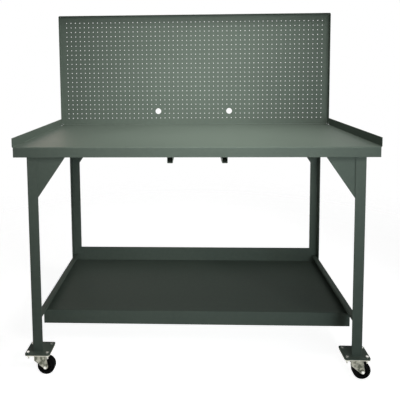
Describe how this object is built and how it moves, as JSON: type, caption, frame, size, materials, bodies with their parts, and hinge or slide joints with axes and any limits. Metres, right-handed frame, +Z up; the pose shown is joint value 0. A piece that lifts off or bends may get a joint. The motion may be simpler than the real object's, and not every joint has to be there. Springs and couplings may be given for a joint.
{
  "type": "mobile workbench",
  "caption": "Steel workbench with a perforated tool panel, side stops, a low shelf set back from the front, and swivel casters under angle legs.",
  "frame": {"origin": "on the floor, under the middle of the bench", "axes": "+X to the right seen from the front, +Y to the back where the tool panel stands, +Z up"},
  "size_m": [1.524, 0.762, 1.6343],
  "materials": {
    "bench_paint": "semi-gloss grey-green enamel",
    "zinc_plate": "bright zinc plate",
    "yellow_zinc": "pale yellow zinc plate",
    "zinc_bolts": "bright zinc plate",
    "tread": "black, moulded",
    "wheel_core": "black, moulded"
  },
  "bodies": {
    "bench": {"worktop": "bench_paint", "pegboard_panel": "bench_paint", "shelf": "bench_paint", "side_rail_left": "bench_paint", "side_rail_right": "bench_paint", "stiffener_left": "bench_paint", "stiffener_right": "bench_paint", "leg_front_left": "bench_paint", "leg_front_right": "bench_paint", "leg_rear_left": "bench_paint", "leg_rear_right": "bench_paint", "gusset_front_left": "bench_paint", "gusset_front_right": "bench_paint", "gusset_rear_left": "bench_paint", "gusset_rear_right": "bench_paint", "foot_plate_front_left": "bench_paint", "foot_plate_front_right": "bench_paint", "foot_plate_rear_left": "bench_paint", "foot_plate_rear_right": "bench_paint", "caster_plate_front_left": "zinc_plate", "kingpin_front_left": "zinc_plate", "caster_bolt_front_left_1": "zinc_bolts", "caster_bolt_front_left_2": "zinc_bolts", "caster_bolt_front_left_3": "zinc_bolts", "caster_bolt_front_left_4": "zinc_bolts", "caster_plate_front_right": "zinc_plate", "kingpin_front_right": "zinc_plate", "caster_bolt_front_right_1": "zinc_bolts", "caster_bolt_front_right_2": "zinc_bolts", "caster_bolt_front_right_3": "zinc_bolts", "caster_bolt_front_right_4": "zinc_bolts", "caster_plate_rear_left": "zinc_plate", "kingpin_rear_left": "zinc_plate", "caster_bolt_rear_left_1": "zinc_bolts", "caster_bolt_rear_left_2": "zinc_bolts", "caster_bolt_rear_left_3": "zinc_bolts", "caster_bolt_rear_left_4": "zinc_bolts", "caster_plate_rear_right": "zinc_plate", "kingpin_rear_right": "zinc_plate", "caster_bolt_rear_right_1": "zinc_bolts", "caster_bolt_rear_right_2": "zinc_bolts", "caster_bolt_rear_right_3": "zinc_bolts", "caster_bolt_rear_right_4": "zinc_bolts"},
    "caster_front_left": {"fork_front_left": "yellow_zinc", "axle_front_left": "zinc_bolts"},
    "wheel_front_left": {"wheel_core_front_left": "wheel_core", "tyre_front_left": "tread"},
    "caster_front_right": {"fork_front_right": "yellow_zinc", "axle_front_right": "zinc_bolts"},
    "wheel_front_right": {"wheel_core_front_right": "wheel_core", "tyre_front_right": "tread"},
    "caster_rear_left": {"fork_rear_left": "yellow_zinc", "axle_rear_left": "zinc_bolts"},
    "wheel_rear_left": {"wheel_core_rear_left": "wheel_core", "tyre_rear_left": "tread"},
    "caster_rear_right": {"fork_rear_right": "yellow_zinc", "axle_rear_right": "zinc_bolts"},
    "wheel_rear_right": {"wheel_core_rear_right": "wheel_core", "tyre_rear_right": "tread"}
  },
  "joints": [
    {"name": "swivel_front_left", "type": "hinge", "parent": "bench", "child": "caster_front_left", "pos_m": [-0.683, -0.3365, 0.1045], "axis": [0, 0, 1], "continuous": true},
    {"name": "roll_front_left", "type": "hinge", "parent": "caster_front_left", "child": "wheel_front_left", "pos_m": [-0.655, -0.3365, 0.0381], "axis": [0, 1, 0], "continuous": true},
    {"name": "swivel_front_right", "type": "hinge", "parent": "bench", "child": "caster_front_right", "pos_m": [0.683, -0.3365, 0.1045], "axis": [0, 0, 1], "continuous": true},
    {"name": "roll_front_right", "type": "hinge", "parent": "caster_front_right", "child": "wheel_front_right", "pos_m": [0.711, -0.3365, 0.0381], "axis": [0, 1, 0], "continuous": true},
    {"name": "swivel_rear_left", "type": "hinge", "parent": "bench", "child": "caster_rear_left", "pos_m": [-0.683, 0.3365, 0.1045], "axis": [0, 0, 1], "continuous": true},
    {"name": "roll_rear_left", "type": "hinge", "parent": "caster_rear_left", "child": "wheel_rear_left", "pos_m": [-0.655, 0.3365, 0.0381], "axis": [0, 1, 0], "continuous": true},
    {"name": "swivel_rear_right", "type": "hinge", "parent": "bench", "child": "caster_rear_right", "pos_m": [0.683, 0.3365, 0.1045], "axis": [0, 0, 1], "continuous": true},
    {"name": "roll_rear_right", "type": "hinge", "parent": "caster_rear_right", "child": "wheel_rear_right", "pos_m": [0.711, 0.3365, 0.0381], "axis": [0, 1, 0], "continuous": true}
  ]
}
